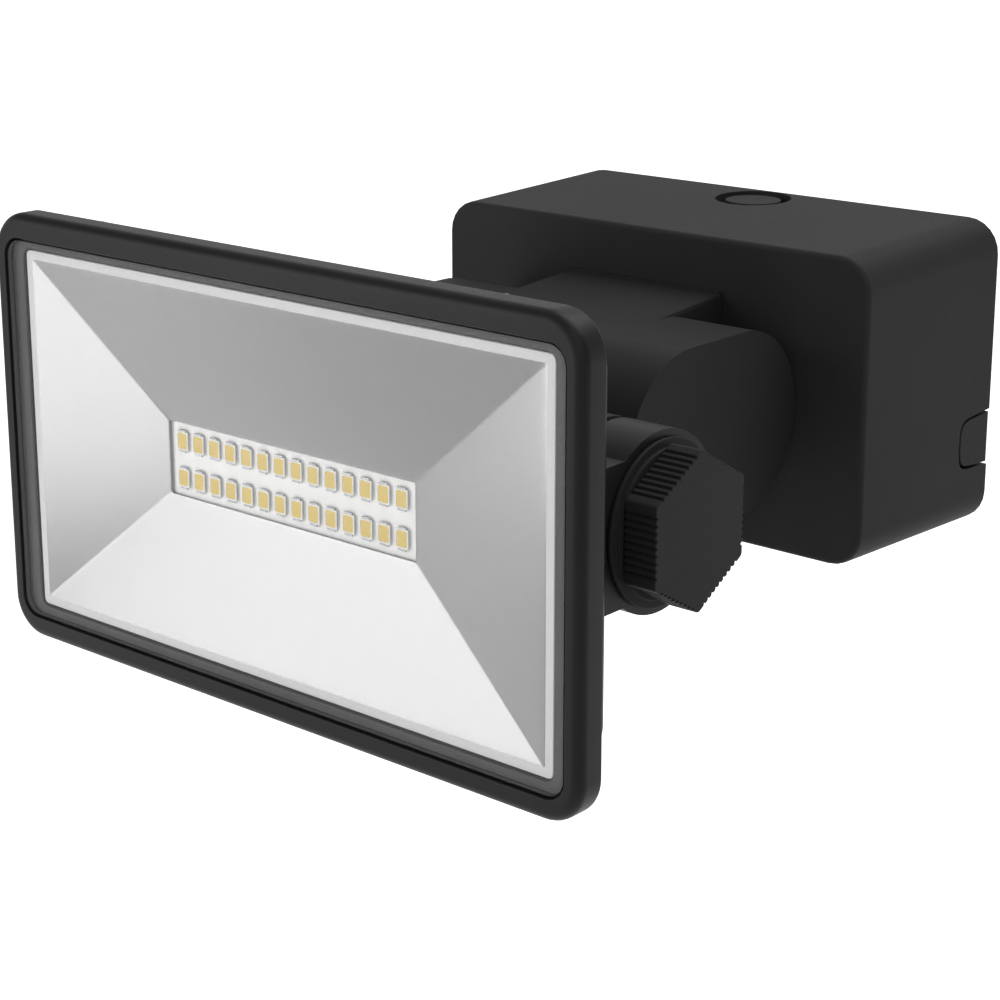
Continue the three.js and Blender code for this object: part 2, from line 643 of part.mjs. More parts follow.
function headHousing() {
  const flange = plate(FLANGE_HALF, FLANGE_CORNER, FLANGE_Y, HEAD_Z);
  const back = loft([
    [BACK_REAR_Y, BACK_REAR_HALF, BACK_REAR_CORNER],
    [FLANGE_Y[0] + BACK_OVERLAP, BACK_FRONT_HALF, BACK_FRONT_CORNER],
  ], HEAD_Z);
  const fins = [];
  for (let index = 0; index < FIN_COUNT; index += 1) {
    const x = (index - (FIN_COUNT - 1) / 2) * FIN_PITCH;
    const spanX = [x - FIN_THICKNESS / 2, x + FIN_THICKNESS / 2];
    const spanY = [BACK_REAR_Y - 1, FIN_TIP_Y];
    fins.push(box(spanX, spanY, [HEAD_Z + FIN_Z[0], HEAD_Z + FIN_Z[1]]));
    fins.push(box(spanX, spanY, [HEAD_Z - FIN_Z[1], HEAD_Z - FIN_Z[0]]));
  }
  const ears = [
    sidePrism(earShape(), EAR_X, EAR_STEPS),
    sidePrism(earShape(), [-EAR_X[1], -EAR_X[0]], EAR_STEPS),
  ];
  const reach = EAR_X[1] + CUT;
  const screwHole = (x, z) => {
    const through = [FLANGE_Y[0] - CUT, FLANGE_Y[1] + CUT];
    return barY(HEAD_SCREW_RADIUS + GAP, through, x, z + HEAD_Z, SMALL_ROUND);
  };
  return cut(
    join(flange, back, ...fins, ...ears),
    plate(POCKET_HALF, POCKET_CORNER, [FLANGE_Y[0] - CUT, POCKET_FLOOR_Y], HEAD_Z, 4),
    barX(BOLT_RADIUS + BOLT_PLAY, [-reach, reach], 0, 0, SMALL_ROUND),
    ...fourCorners(HEAD_SCREW_X, HEAD_SCREW_Z).map(([x, z]) => screwHole(x, z)),
  );
}

function headScrew(x, z) {
  const [tip, underHead] = HEAD_SCREW_Y;
  const headY = [underHead, underHead + HEAD_SCREW_HEAD];
  return join(
    barY(HEAD_SCREW_RADIUS, [tip, underHead + HEAD_SCREW_HEAD / 2], x, z + HEAD_Z, SMALL_ROUND),
    barY(HEAD_SCREW_HEAD_RADIUS, headY, x, z + HEAD_Z, SMALL_ROUND),
  );
}

function tiltBolt() {
  const shank = barX(BOLT_RADIUS, BOLT_X, 0, 0, SMALL_ROUND);
  const head = barX(BOLT_HEAD_RADIUS, [BOLT_X[0] - BOLT_HEAD_THICKNESS, BOLT_X[0]], 0, 0, 6);
  return join(shank, head);
}

// ---------------------------------------------------------------------------
// Hand knob
// ---------------------------------------------------------------------------

/** Hexagon in (y, z) with a corner on top and V grooves across each flat. */
function knobShape() {
  const points = [];
  for (let side = 0; side < 6; side += 1) {
    const start = side * Math.PI / 3 + Math.PI / 2;
    const corner = new THREE.Vector2(Math.cos(start), Math.sin(start)).multiplyScalar(KNOB_CORNER_RADIUS);
    const next = corner.clone().rotateAround(new THREE.Vector2(), Math.PI / 3);
    const along = next.clone().sub(corner).normalize();
    const inward = new THREE.Vector2(-along.y, along.x);
    const middle = corner.clone().add(next).multiplyScalar(0.5);
    points.push(corner);
    for (let groove = 0; groove < KNOB_GROOVES; groove += 1) {
      const offset = (groove - (KNOB_GROOVES - 1) / 2) * KNOB_GROOVE_PITCH;
      const centre = middle.clone().addScaledVector(along, offset);
      points.push(centre.clone().addScaledVector(along, -KNOB_GROOVE_WIDTH / 2));
      points.push(centre.clone().addScaledVector(inward, KNOB_GROOVE_DEPTH));
      points.push(centre.clone().addScaledVector(along, KNOB_GROOVE_WIDTH / 2));
    }
  }
  return new THREE.Shape(points);
}

/** Two stacked flat rings between the knob and the right ear, the smaller one outside. */
function knobWasher() {
  const [inside, step, outside] = KNOB_WASHER_X;
  const [large, small] = KNOB_WASHER_RADII;
  return cut(
    join(barX(large, [inside, step]), barX(small, [inside, outside])),
    barX(BOLT_RADIUS + BOLT_PLAY, [inside - CUT, outside + CUT], 0, 0, SMALL_ROUND),
  );
}

function tiltKnob() {
  const socket = [KNOB_X[0] - CUT, BOLT_X[1] + GAP];
  return cut(sidePrism(knobShape(), KNOB_X), barX(BOLT_RADIUS + BOLT_PLAY, socket, 0, 0, SMALL_ROUND));
}

// ---------------------------------------------------------------------------
// Assembly
// ---------------------------------------------------------------------------

const floodlight = new THREE.Group();

floodlight.add(
  mesh('box_housing', boxHousing(), BLACK_COAT),
  mesh('wall_plate', wallPlate(), BLACK_PLASTIC),
  mesh('box_gasket', boxGasket(), BLACK_RUBBER),
  mesh('top_entry_plug', topEntryPlug(), BLACK_PLASTIC),
  mesh('side_entry_insert_right', sideEntryInsert(1), BLACK_PLASTIC),
  mesh('side_entry_insert_left', sideEntryInsert(-1), BLACK_PLASTIC),
  mesh('cover_screw_right', coverScrew(TAB_X), STEEL),
  mesh('cover_screw_left', coverScrew(-TAB_X), STEEL),
  mesh('led_driver', ledDriver(), DRIVER_GREY),
  mesh('terminal_block', terminalBlock(), TERMINAL_WHITE),
  mesh('live_lead', lead(0, LIVE_LEAD_Z), LEAD_BROWN),
  mesh('neutral_lead', lead(1, NEUTRAL_LEAD_Z), LEAD_BLUE),
);

const arm = new THREE.Group();
arm.position.y = -BOX_DEPTH;
arm.add(
  mesh('swivel_arm', swivelArm(), BLACK_COAT),
  mesh('swivel_lock_nut', lockNut(), BLACK_PLASTIC),
);
floodlight.add(arm);

const head = new THREE.Group();
head.position.y = TILT_AXIS;
head.add(
  mesh('head_housing', headHousing(), BLACK_COAT),
  mesh('head_frame', headFrame(), BLACK_COAT),
  mesh('glass_lens', glassLens(), CLEAR_GLASS),
  mesh('lens_seal', lensSeal(), BLACK_RUBBER),
  mesh('reflector', reflector(), WHITE_REFLECTOR),
  mesh('led_board', ledBoard(), BOARD_WHITE),
  mesh('led_row_upper', ledRow(WINDOW_Z + LED_ROW_Z), PHOSPHOR),
  mesh('led_row_lower', ledRow(WINDOW_Z - LED_ROW_Z), PHOSPHOR),
  mesh('thermal_pad', thermalPad(), PAD_GREY),
  mesh('tilt_bolt', tiltBolt(), STEEL),
);
const washerX = [BARREL_HALF_WIDTH + GAP, EAR_X[0] - GAP];
head.add(
  mesh('friction_washer_right', boltWasher(WASHER_RADIUS, washerX), BLACK_RUBBER),
  mesh('friction_washer_left', boltWasher(WASHER_RADIUS, [-washerX[1], -washerX[0]]), BLACK_RUBBER),
  mesh('knob_washer', knobWasher(), BLACK_PLASTIC),
);
const screwNames = ['top_right', 'top_left', 'bottom_left', 'bottom_right'];
fourCorners(HEAD_SCREW_X, HEAD_SCREW_Z).forEach(([x, z], index) => {
  head.add(mesh(`head_screw_${screwNames[index]}`, headScrew(x, z), STEEL));
});
head.add(mesh('tilt_knob', tiltKnob(), BLACK_PLASTIC));
arm.add(head);

export default floodlight;
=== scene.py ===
"""Wall-box LED floodlight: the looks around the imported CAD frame. Metres, the row frame."""
import json
import math

import bmesh
import bpy
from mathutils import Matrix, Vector

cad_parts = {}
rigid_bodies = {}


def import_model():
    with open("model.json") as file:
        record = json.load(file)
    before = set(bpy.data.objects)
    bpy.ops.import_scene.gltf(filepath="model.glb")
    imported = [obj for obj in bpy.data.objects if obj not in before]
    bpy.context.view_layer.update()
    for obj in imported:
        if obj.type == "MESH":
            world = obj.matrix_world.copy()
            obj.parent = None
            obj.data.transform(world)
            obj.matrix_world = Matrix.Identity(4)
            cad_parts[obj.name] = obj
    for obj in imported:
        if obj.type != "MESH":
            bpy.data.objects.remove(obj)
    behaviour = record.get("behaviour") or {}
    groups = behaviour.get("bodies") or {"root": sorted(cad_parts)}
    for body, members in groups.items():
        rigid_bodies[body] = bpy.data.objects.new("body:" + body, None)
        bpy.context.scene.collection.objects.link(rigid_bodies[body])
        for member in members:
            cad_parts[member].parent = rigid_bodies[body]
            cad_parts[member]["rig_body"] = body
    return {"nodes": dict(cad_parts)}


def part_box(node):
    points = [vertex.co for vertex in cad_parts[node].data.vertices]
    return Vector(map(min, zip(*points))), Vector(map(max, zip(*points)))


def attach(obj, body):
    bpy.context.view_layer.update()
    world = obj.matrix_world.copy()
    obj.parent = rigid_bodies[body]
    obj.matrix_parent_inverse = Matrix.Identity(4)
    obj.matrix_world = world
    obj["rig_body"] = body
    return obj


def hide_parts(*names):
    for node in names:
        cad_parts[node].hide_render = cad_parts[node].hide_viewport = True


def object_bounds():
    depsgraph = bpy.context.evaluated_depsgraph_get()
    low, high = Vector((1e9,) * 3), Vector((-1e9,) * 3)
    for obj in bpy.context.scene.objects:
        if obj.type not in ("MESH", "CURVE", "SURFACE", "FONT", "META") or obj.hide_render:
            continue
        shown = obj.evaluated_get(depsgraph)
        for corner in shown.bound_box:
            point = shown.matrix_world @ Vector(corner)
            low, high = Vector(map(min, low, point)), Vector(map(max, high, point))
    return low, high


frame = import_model()
CAD_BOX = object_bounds()
NODES = frame["nodes"]

MM = 0.001
GAP = 0.3 * MM           # play between neighbouring pieces, as in the CAD
ROUNDED = 0.3            # where the middle ring of a rounded edge lies, as a part of its size
CREASE_WEIGHT = 80       # how strongly large faces lead the shading normals

# Camera, fitted to the object's own edges
CAMERA_PLACE = (0.33683, -0.50701, 0.14111)
CAMERA_YAW = 40.624
CAMERA_PITCH = 14.783
CAMERA_LENS = 81.4
CAMERA_SHIFT = -0.1

# ---------------------------------------------------------------------------
# Materials
# ---------------------------------------------------------------------------


def new_material(name, color, roughness, metallic=0.0, specular=0.5):
    """A Principled material; returns it with its node tree and shader."""
    material = bpy.data.materials.new(name)
    material.use_nodes = True
    tree = material.node_tree
    shader = next(n for n in tree.nodes if n.type == "BSDF_PRINCIPLED")
    shader.inputs["Base Color"].default_value = (*color, 1)
    shader.inputs["Roughness"].default_value = roughness
    shader.inputs["Metallic"].default_value = metallic
    shader.inputs["Specular IOR Level"].default_value = specular
    return material, tree, shader


def noise(tree, scale, detail=4.0, rough=0.5, stretch=(1, 1, 1)):
    """Noise in object space; scale is in cells per metre."""
    place = tree.nodes.new("ShaderNodeTexCoord")
    mapping = tree.nodes.new("ShaderNodeMapping")
    mapping.inputs["Scale"].default_value = stretch
    texture = tree.nodes.new("ShaderNodeTexNoise")
    texture.inputs["Scale"].default_value = scale
    texture.inputs["Detail"].default_value = detail
    texture.inputs["Roughness"].default_value = rough
    tree.links.new(place.outputs["Object"], mapping.inputs["Vector"])
    tree.links.new(mapping.outputs["Vector"], texture.inputs["Vector"])
    return texture.outputs["Fac"]


def ramp(tree, value, low, high, start=0.3, end=0.7):
    """Maps a value to a colour or grey range."""
    node = tree.nodes.new("ShaderNodeValToRGB")
    node.color_ramp.elements[0].position = start
    node.color_ramp.elements[1].position = end
    node.color_ramp.elements[0].color = (*low, 1)
    node.color_ramp.elements[1].color = (*high, 1)
    tree.links.new(value, node.inputs["Fac"])
    return node.outputs["Color"]


def grey(value):
    return (value, value, value)


def add_bump(tree, shader, height, strength, distance):
    """A relief of the given depth, from a height value."""
    bump = tree.nodes.new("ShaderNodeBump")
    bump.inputs["Strength"].default_value = strength
    bump.inputs["Distance"].default_value = distance
    tree.links.new(height, bump.inputs["Height"])
    tree.links.new(bump.outputs["Normal"], shader.inputs["Normal"])


DRIFT_SCALE = 18         # cells per metre of the slow tone drift
SHEEN_SPREAD = 0.05
GRAIN_STRENGTH = 0.35


def grained(name, color, roughness, grain, depth, specular=0.06, spread=0.12):
    """A moulded or coated surface: fine grain, slow tone drift and uneven roughness."""
    material, tree, shader = new_material(name, color, roughness, specular=specular)
    drift = noise(tree, DRIFT_SCALE, 3)
    tone = ramp(tree, drift, [c * (1 - spread) for c in color], [c * (1 + spread) for c in color])
    tree.links.new(tone, shader.inputs["Base Color"])
    fine = noise(tree, grain, 3, 0.6)
    dull, bright = grey(roughness - SHEEN_SPREAD), grey(roughness + SHEEN_SPREAD)
    sheen = ramp(tree, fine, dull, bright, 0.25, 0.75)
    tree.links.new(sheen, shader.inputs["Roughness"])
    add_bump(tree, shader, fine, GRAIN_STRENGTH, depth)
    return material


SHELL = grained("black_shell_texture", grey(0.022), 0.56, 1500, 0.00003)
ARM = grained("black_arm_texture", grey(0.020), 0.55, 1500, 0.00003)
COAT = grained("black_powder_coat", grey(0.012), 0.42, 1100, 0.00002, 0.13)
TRIM = grained("black_trim_texture", grey(0.020), 0.58, 1700, 0.00002)
KNOB = grained("black_knob_texture", grey(0.020), 0.52, 1700, 0.00002)
RUBBER = grained("black_rubber_skin", grey(0.012), 0.75, 1200, 0.00002)
BORDER = grained("black_glass_border", grey(0.065), 0.6, 1500, 0.00001, 0.1)
DRIVER = grained("driver_case_grain", (0.42, 0.43, 0.44), 0.6, 1200, 0.00003)
TERMINAL = grained("terminal_nylon", (0.72, 0.70, 0.63), 0.45, 900, 0.00001, spread=0.03)
BROWN = grained("brown_insulation", (0.13, 0.05, 0.025), 0.45, 800, 0.00001)
BLUE = grained("blue_insulation", (0.03, 0.10, 0.36), 0.45, 800, 0.00001)
PAD = grained("thermal_pad_skin", (0.28, 0.30, 0.31), 0.8, 700, 0.00003)


def steel():
    """Zinc-plated steel with fine brushing."""
    material, tree, shader = new_material("zinc_plate", (0.34, 0.345, 0.355), 0.36, 1.0)
    brushed = noise(tree, 500, 4, 0.6, (1, 6, 6))
    sheen = ramp(tree, brushed, grey(0.26), grey(0.44))
    tree.links.new(sheen, shader.inputs["Roughness"])
    tone = ramp(tree, noise(tree, 60, 3), (0.30, 0.305, 0.315), (0.38, 0.385, 0.395))
    tree.links.new(tone, shader.inputs["Base Color"])
    add_bump(tree, shader, brushed, 0.15, 0.00001)
    return material


STEEL = steel()


def satin_metal():
    """Satin reflector sheet: mostly mirror-like but soft, with a slow drift of tone."""
    material, tree, shader = new_material("reflector_lacquer", grey(0.29), 0.22, 0.8)
    tone = ramp(tree, noise(tree, 14, 2), grey(0.28), grey(0.30), 0, 1)
    tree.links.new(tone, shader.inputs["Base Color"])
    return material


REFLECTOR = satin_metal()
RIM = grained("reflector_rim_lacquer", grey(0.60), 0.5, 1500, 0.000002, 0.3, spread=0.02)


def solder_mask():
    """White solder mask, very slightly uneven in tone and level."""
    material, tree, shader = new_material("white_solder_mask", (0.80, 0.80, 0.79), 0.4)
    tone = ramp(tree, noise(tree, 300, 3), (0.77, 0.77, 0.76), (0.83, 0.83, 0.82))
    tree.links.new(tone, shader.inputs["Base Color"])
    add_bump(tree, shader, noise(tree, 900, 2), 0.15, 0.00002)
    return material


MASK = solder_mask()


def phosphor():
    """Silicone filled with yellow phosphor: a fine, even grain."""
    material, tree, shader = new_material("yellow_phosphor", (0.62, 0.46, 0.12), 0.38)
    tone = ramp(tree, noise(tree, 2600, 3, 0.7), (0.58, 0.42, 0.10), (0.68, 0.51, 0.15))
    tree.links.new(tone, shader.inputs["Base Color"])
    add_bump(tree, shader, noise(tree, 2600, 2), 0.2, 0.00001)
    return material


PHOSPHOR = phosphor()


def package_white():
    """White moulded LED package with a fine mottle."""
    material, tree, shader = new_material("package_white", (0.74, 0.74, 0.72), 0.45)
    tone = ramp(tree, noise(tree, 1500, 2), (0.71, 0.71, 0.69), (0.77, 0.77, 0.75))
    tree.links.new(tone, shader.inputs["Base Color"])
    return material


PACKAGE = package_white()


GLASS_OPACITY = 0.03


def glass():
    """Clear glass as a thin sheet: light passes straight through, each face mirrors a little."""
    material, tree, shader = new_material("clear_glass_sheet", grey(0.9), 0.1)
    shader.inputs["Alpha"].default_value = GLASS_OPACITY
    smear = ramp(tree, noise(tree, 22, 2), grey(0.08), grey(0.13), 0, 1)
    tree.links.new(smear, shader.inputs["Roughness"])
    material.surface_render_method = "BLENDED"
    return material


GLASS = glass()

# ---------------------------------------------------------------------------
# Mesh building
# ---------------------------------------------------------------------------


def mesh_object(name, bm, material):
    """Turns a finished bmesh into a smooth-shaded object with one material."""
    mesh = bpy.data.meshes.new(name)
    bmesh.ops.recalc_face_normals(bm, faces=bm.faces)
    bm.to_mesh(mesh)
    bm.free()
    for polygon in mesh.polygons:
        polygon.use_smooth = True
    piece = bpy.data.objects.new(name, mesh)
    bpy.context.scene.collection.objects.link(piece)
    mesh.materials.append(material)
    return piece


def even_shading(piece):
    """Lets the large faces lead the shading, so flat faces look flat."""
    modifier = piece.modifiers.new("weighted", "WEIGHTED_NORMAL")
    modifier.keep_sharp = True
    modifier.weight = CREASE_WEIGHT
    return piece


def weighted(piece, angle):
    """Marks edges steeper than the angle as sharp and smooths the rest."""
    bm = bmesh.new()
    bm.from_mesh(piece.data)
    for edge in bm.edges:
        if len(edge.link_faces) == 2 and edge.calc_face_angle(0) > math.radians(angle):
            edge.smooth = False
    bm.to_mesh(piece.data)
    bm.free()
    return even_shading(piece)


def rounded_outline(half_width, half_height, corner, steps=10):
    """Points (x, z) of a rounded rectangle, anticlockwise seen from the front."""
    points = []
    for sign_x, sign_z, quarter in ((1, 1, 0), (-1, 1, 1), (-1, -1, 2), (1, -1, 3)):
        for step in range(steps + 1):
            angle = (quarter + step / steps) * math.pi / 2
            points.append((
                sign_x * (half_width - corner) + corner * math.cos(angle),
                sign_z * (half_height - corner) + corner * math.sin(angle),
            ))
    return points


def loft_rings(rings, closed=False, caps=False):
    """Joins rings of equal length with quads; closed joins the last ring to the first."""
    bm = bmesh.new()
    rows = [[bm.verts.new(p) for p in ring] for ring in rings]
    count = len(rows[0])
    pairs = list(zip(rows, rows[1:]))
    if closed:
        pairs.append((rows[-1], rows[0]))
    for row, following in pairs:
        for i in range(count):
            j = (i + 1) % count
            bm.faces.new((row[i], row[j], following[j], following[i]))
    if caps:
        bm.faces.new(rows[0])
        bm.faces.new(rows[-1])
    return bm


def plate_rings(sections, centre_x, centre_z, steps=10):
    """Rings of rounded rectangles from sections (y, half width, half height, corner)."""
    return [
        [Vector((centre_x + x, y, centre_z + z)) for x, z in rounded_outline(w, h, c, steps)]
        for y, w, h, c in sections
    ]


WELD = 0.01 * MM
FLAT_ANGLE = 0.5
BEVEL_SEGMENTS = 3


def refined(node, material, bevel, angle=28):
    """A finer copy of a CAD node: flat faces made whole and every sharp edge rounded."""
    bm = bmesh.new()
    bm.from_mesh(NODES[node].data)
    bmesh.ops.remove_doubles(bm, verts=bm.verts, dist=WELD)
    bmesh.ops.dissolve_limit(
        bm, angle_limit=math.radians(FLAT_ANGLE), verts=bm.verts, edges=bm.edges, delimit=set(),
    )
    piece = mesh_object(f"{node}_finished", bm, material)
    modifier = piece.modifiers.new("edges", "BEVEL")
    modifier.width = bevel
    modifier.segments = BEVEL_SEGMENTS
    modifier.limit_method = "ANGLE"
    modifier.angle_limit = math.radians(angle)
    modifier.use_clamp_overlap = True
    modifier.harden_normals = False
    modifier.miter_outer = "MITER_ARC"
    return even_shading(piece)


def body_of(node):
    return NODES[node]["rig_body"]


def stand_for(piece, slot, *nodes):
    """Puts a finished piece in the place of CAD nodes, on their body."""
    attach(piece, body_of(nodes[0]))
    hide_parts(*nodes)
    return piece


def centre_and_half(node):
    low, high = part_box(node)
    return (low + high) / 2, (high - low) / 2


# ---------------------------------------------------------------------------
# Camera, floor and light
# ---------------------------------------------------------------------------


def look(yaw, pitch):
    """Direction of view for a yaw to the left of +Y and a pitch below the horizon."""
    yaw, pitch = math.radians(yaw), math.radians(pitch)
    return Vector((
        -math.sin(yaw) * math.cos(pitch),
        math.cos(yaw) * math.cos(pitch),
        -math.sin(pitch),
    ))


camera_data = bpy.data.cameras.new("camera")
camera_data.lens = CAMERA_LENS
camera_data.sensor_width = 36
camera_data.shift_y = CAMERA_SHIFT
camera_data.clip_start = 0.01
camera_data.clip_end = 100
camera = bpy.data.objects.new("camera", camera_data)
camera.location = CAMERA_PLACE
camera.rotation_mode = "QUATERNION"
camera.rotation_quaternion = look(CAMERA_YAW, CAMERA_PITCH).to_track_quat("-Z", "Y")
bpy.context.scene.collection.objects.link(camera)
bpy.context.scene.camera = camera


def area_light(name, place, target, size, power):
    """A soft rectangular light that the camera doesn't see."""
    data = bpy.data.lights.new(name, "AREA")
    data.shape = "RECTANGLE"
    data.size, data.size_y = size
    data.energy = power
    lamp = bpy.data.objects.new(name, data)
    lamp.location = place
    lamp.rotation_mode = "QUATERNION"
    lamp.rotation_quaternion = (Vector(target) - Vector(place)).to_track_quat("-Z", "Y")
    lamp.visible_camera = False
    bpy.context.scene.collection.objects.link(lamp)
    return lamp


MIDDLE = (CAD_BOX[0] + CAD_BOX[1]) / 2
area_light("top_softbox", MIDDLE + Vector((0.25, 0.5, 1.3)), MIDDLE, (1.4, 1.4), 22)
area_light("front_softbox", MIDDLE + Vector((-0.62, -0.91, 0.115)), MIDDLE, (0.62, 0.91), 5.6)
area_light("key_softbox", MIDDLE + Vector((0.8, -0.85, 0.85)), MIDDLE, (0.9, 0.9), 4.5)
area_light("low_fill", MIDDLE + Vector((-0.785, -0.453, -0.43)), MIDDLE, (0.42, 0.42), 0.35)
area_light("background_light", MIDDLE + Vector((-2.5, 3.5, 2.4)), (-2.5, 3.5, -1), (5, 5), 40)


HORIZON_FADE = (0.15, 0.4)   # heights of the sky direction between which it dims
SIDE_FADE = (0.35, 0.85)     # the same for its turn towards the knob side


def map_range(tree, value, source, target):
    """Maps a value linearly from one range to another, held at the ends."""
    node = tree.nodes.new("ShaderNodeMapRange")
    node.inputs["From Min"].default_value, node.inputs["From Max"].default_value = source
    node.inputs["To Min"].default_value, node.inputs["To Max"].default_value = target
    tree.links.new(value, node.inputs["Value"])
    return node.outputs["Result"]


def studio_world(band, dome, side):
    """White near the horizon, dimmer overhead, dimmer still on the knob side."""
    world = bpy.data.worlds.new("studio")
    bpy.context.scene.world = world
    world.use_nodes = True
    tree = world.node_tree
    background = tree.nodes["Background"]
    place = tree.nodes.new("ShaderNodeTexCoord")
    split = tree.nodes.new("ShaderNodeSeparateXYZ")
    tree.links.new(place.outputs["Generated"], split.inputs["Vector"])
    fade = map_range(tree, split.outputs["Z"], HORIZON_FADE, (band, dome))
    flag = map_range(tree, split.outputs["X"], SIDE_FADE, (1.0, side))
    shade = tree.nodes.new("ShaderNodeMath")
    shade.operation = "MULTIPLY"
    tree.links.new(fade, shade.inputs[0])
    tree.links.new(flag, shade.inputs[1])
    tree.links.new(shade.outputs["Value"], background.inputs["Strength"])
    background.inputs["Color"].default_value = (1, 1, 1, 1)


studio_world(1.0, 0.15, 0.3)
bpy.context.scene.view_settings.view_transform = "Standard"

FLOOR_DROP = 0.6
FLOOR_SIZE = 14
FLOOR_FADE = (-0.6, 1.4)     # y between which the floor's painted glow rises, front to back
# emission strengths of the painted glow, front and back
FLOOR_PAINTED_GLOW = (0.28, 0.9)


def pale_floor():
    """A pale floor with painted light: a glow rising towards the back, as on a lit studio sweep.
    """
    bm = bmesh.new()
    height = CAD_BOX[0].z - FLOOR_DROP
    corners = ((-1, -1), (1, -1), (1, 1), (-1, 1))
    bm.faces.new([bm.verts.new((x * FLOOR_SIZE, y * FLOOR_SIZE, height)) for x, y in corners])
    material, tree, shader = new_material("pale_floor", grey(0.88), 0.8)
    place = tree.nodes.new("ShaderNodeTexCoord")
    split = tree.nodes.new("ShaderNodeSeparateXYZ")
    tree.links.new(place.outputs["Object"], split.inputs["Vector"])
    # painted light: the emission is dim in front and bright behind, standing in for studio light
    # on the floor
    painted_glow = map_range(tree, split.outputs["Y"], FLOOR_FADE, FLOOR_PAINTED_GLOW)
    shader.inputs["Emission Color"].default_value = (1, 1, 1, 1)
    tree.links.new(painted_glow, shader.inputs["Emission Strength"])
    tone = ramp(tree, noise(tree, 3, 2), grey(0.87), grey(0.89))
    tree.links.new(tone, shader.inputs["Base Color"])
    mesh_object("floor", bm, material)


pale_floor()

# ---------------------------------------------------------------------------
# Head: frame, glass, reflector, board and LEDs
# ---------------------------------------------------------------------------

FRAME_CORNER = 9.5 * MM
FRAME_ROUND = 2.4 * MM
WINDOW_MARGIN = 0.55 * MM
WINDOW_CORNER = 4.8 * MM
LEDGE_HALF = (78.9 * MM, 43.25 * MM)
LEDGE_CORNER = 2.3 * MM
LEDGE_DEPTH = 1.4 * MM
LEDGE_EDGE = 0.1 * MM
CAVITY_MARGIN = 1.6 * MM
CAVITY_CORNER = 4 * MM
FRAME_BACK_EDGE = 0.4 * MM
FRAME_FRONT_EDGE = 0.22 * MM
CAVITY_EDGE = 0.2 * MM
GLASS_CORNER = 4.2 * MM
GLASS_ARRIS = 0.3 * MM
ROUND_STEPS = 6
CORNER_STEPS = 12


def head_frame():
    """The frame as one closed sweep of its section round the window."""
    low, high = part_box("head_frame")
    centre, half = centre_and_half("head_frame")
    glass_centre, glass_half = centre_and_half("glass_lens")
    flange_half = centre_and_half("reflector")[1]
    front, back = low.y, high.y
    ledge_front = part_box("lens_seal")[1].y + GAP
    ledge_back = ledge_front + LEDGE_DEPTH
    ledge_half = Vector((LEDGE_HALF[0], 0, LEDGE_HALF[1]))

    def ring(place, y, size, margin, corner):
        """One station of the section: its centre, depth, half width, half height and corner."""
        return (place, y, size.x + margin, size.z + margin, corner)

    def outer(y, inset):
        return ring(centre, y, half, -inset, FRAME_CORNER - inset)

    def window(y, growth=0.0):
        return ring(glass_centre, y, glass_half, WINDOW_MARGIN + growth, WINDOW_CORNER + growth)

    def ledge(y, growth=0.0):
        return ring(glass_centre, y, ledge_half, growth, LEDGE_CORNER + growth)

    def cavity(y, growth=0.0):
        return ring(glass_centre, y, flange_half, CAVITY_MARGIN + growth, CAVITY_CORNER + growth)

    profile = [
        outer(back, FRAME_BACK_EDGE),
        outer(back - FRAME_BACK_EDGE * ROUNDED, FRAME_BACK_EDGE * ROUNDED),
        outer(back - FRAME_BACK_EDGE, 0),
    ]
    for step in range(ROUND_STEPS + 1):
        angle = step / ROUND_STEPS * math.pi / 2
        profile.append(outer(
            front + FRAME_ROUND * (1 - math.sin(angle)),
            FRAME_ROUND * (1 - math.cos(angle)),
        ))
    profile += [
        window(front, FRAME_FRONT_EDGE),
        window(front + FRAME_FRONT_EDGE * ROUNDED, FRAME_FRONT_EDGE * ROUNDED),
        window(front + FRAME_FRONT_EDGE),
        window(ledge_front - LEDGE_EDGE),
        window(ledge_front, -LEDGE_EDGE),
        ledge(ledge_front, LEDGE_EDGE),
        ledge(ledge_front + LEDGE_EDGE),
        ledge(ledge_back - LEDGE_EDGE),
        ledge(ledge_back, LEDGE_EDGE),
        cavity(ledge_back),
        cavity(back - CAVITY_EDGE),
        cavity(back, CAVITY_EDGE),
    ]
    rings = [
        [Vector((c.x + x, y, c.z + z)) for x, z in rounded_outline(w, h, r, CORNER_STEPS)]
        for c, y, w, h, r in profile
    ]
    piece = mesh_object("head_frame_finished", loft_rings(rings, closed=True), COAT)
    return stand_for(weighted(piece, 50), "black_coated_aluminium", "head_frame")


def glass_sheet():
    """Clear sheet with rounded arrises; its edge all round is blackened like the border."""
    centre, half = centre_and_half("glass_lens")
    low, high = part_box("glass_lens")
    arris = GLASS_ARRIS
    sections = [
        (low.y, half.x - arris, half.z - arris, GLASS_CORNER - arris),
        (low.y + arris, half.x, half.z, GLASS_CORNER),
        (high.y - arris, half.x, half.z, GLASS_CORNER),
        (high.y, half.x - arris, half.z - arris, GLASS_CORNER - arris),
    ]
    bm = loft_rings(plate_rings(sections, centre.x, centre.z), caps=True)
    piece = mesh_object("glass_lens_finished", bm, GLASS)
    piece.data.materials.append(BORDER)
    for polygon in piece.data.polygons:
        if abs(polygon.normal.y) < 0.5:
            polygon.material_index = 1
    return stand_for(weighted(piece, 30), "clear_glass", "glass_lens")


